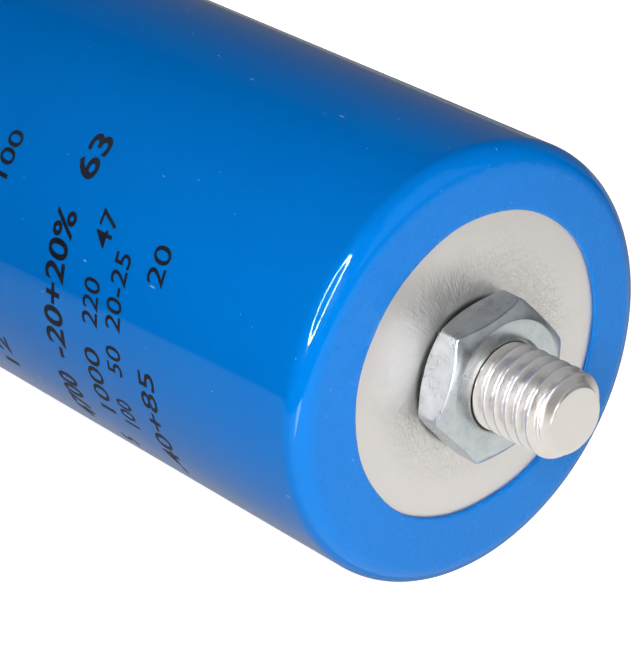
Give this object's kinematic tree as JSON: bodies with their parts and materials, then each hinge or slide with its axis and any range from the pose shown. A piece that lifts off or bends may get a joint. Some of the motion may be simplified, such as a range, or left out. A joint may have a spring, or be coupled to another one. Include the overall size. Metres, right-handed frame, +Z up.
{
  "type": "electrolytic capacitor",
  "caption": "Cylindrical aluminium electrolytic capacitor in a blue plastic sleeve, with screw terminals at one end and a threaded mounting stud with a thin hexagon nut at the other.",
  "frame": {"origin": "on the can's axis, at the mounting face: the end of the sleeve's lap round the stud, which bears on the chassis", "axes": "+X along the stud, away from the can; +Z up as the can lies on its side; the terminals face -X, side by side along Y"},
  "size_m": [0.087, 0.04, 0.04],
  "materials": {
    "can_aluminium": "drawn and pressed, satin, fine radial marks on the base",
    "blue_sleeve": "glossy shrunk PVC film",
    "zinc_plated_steel": "zinc plated, smooth, slightly bluish",
    "cover_phenolic": "moulded, fine matt",
    "seal_rubber": "matt rubber",
    "terminal_aluminium": "turned, fine circular marks",
    "tab_aluminium": "rolled strip, soft sheen",
    "winding_paper": "electrolyte-soaked paper edges, matt",
    "tape_film": "smooth film tape",
    "wrap_paper": "plain paper, matt",
    "disc_fibre": "pressed board, matt",
    "plug_plastic": "moulded polypropylene, satin"
  },
  "bodies": {
    "root": {"can": "can_aluminium", "sleeve": "blue_sleeve", "hex_nut": "zinc_plated_steel", "cover": "cover_phenolic", "sealing_ring": "seal_rubber", "vent_plug": "seal_rubber", "positive_terminal": "terminal_aluminium", "negative_terminal": "terminal_aluminium", "positive_washer": "terminal_aluminium", "negative_washer": "terminal_aluminium", "anode_tab_upper": "tab_aluminium", "anode_tab_lower": "tab_aluminium", "cathode_tab_upper": "tab_aluminium", "cathode_tab_lower": "tab_aluminium", "winding": "winding_paper", "closing_tape": "tape_film", "insulating_wrap": "wrap_paper", "top_disc": "disc_fibre", "base_disc": "disc_fibre", "centring_plug": "plug_plastic"}
  },
  "joints": []
}
